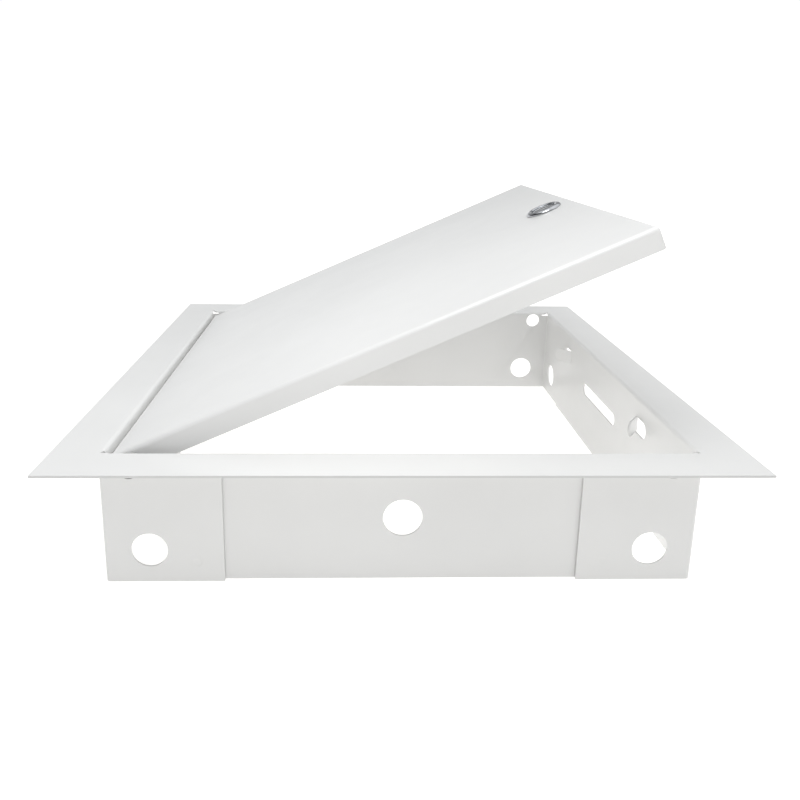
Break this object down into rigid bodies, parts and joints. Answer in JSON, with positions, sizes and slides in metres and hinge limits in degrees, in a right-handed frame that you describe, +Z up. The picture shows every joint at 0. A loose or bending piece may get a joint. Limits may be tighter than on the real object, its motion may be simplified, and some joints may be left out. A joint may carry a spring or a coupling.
{
  "type": "flush access hatch",
  "caption": "Square flush access hatch: flanged sheet-steel frame with bent flaps and corner brackets, and a hinged pan door with a screwdriver cam latch.",
  "frame": {"origin": "middle of the frame's outline at the level of the corner brackets' lower edge", "axes": "+Z up through the flange, -X towards the hinge, +X towards the latch, +Y along the hinge"},
  "size_m": [0.358, 0.358, 0.1884],
  "materials": {
    "white_paint": "white powder coat with a fine orange peel, semi-matt",
    "zinc_plate": "bright zinc plate",
    "latch_chrome": "nickel-chrome plate on die-cast zinc",
    "bush_nylon": "grey moulded nylon"
  },
  "bodies": {
    "frame": {"frame_sheet": "white_paint", "corner_bracket_front_left": "white_paint", "corner_bracket_front_right": "white_paint", "corner_bracket_back_left": "white_paint", "corner_bracket_back_right": "white_paint", "hinge_bush_front": "bush_nylon", "hinge_bush_back": "bush_nylon"},
    "door": {"door_pan": "white_paint", "hinge_bracket_front": "white_paint", "hinge_bracket_back": "white_paint", "hinge_pin_front": "zinc_plate", "hinge_pin_back": "zinc_plate", "pin_clip_front": "zinc_plate", "pin_clip_back": "zinc_plate", "latch_housing": "latch_chrome", "latch_lock_washer": "zinc_plate", "latch_nut": "zinc_plate"},
    "latch": {"latch_plug": "latch_chrome", "cam_stop_washer": "zinc_plate", "cam_arm": "zinc_plate", "cam_spring_washer": "zinc_plate", "cam_screw": "zinc_plate"}
  },
  "joints": [
    {"name": "door_hinge", "type": "hinge", "parent": "frame", "child": "door", "pos_m": [-0.14, 0, 0.0645], "axis": [0, -1, 0], "range_deg": [-24, 86]},
    {"name": "latch_turn", "type": "hinge", "parent": "door", "child": "latch", "pos_m": [0.10333, 0, 0.18105], "axis": [0.4067, 0, -0.9135], "range_deg": [0, 90]}
  ]
}
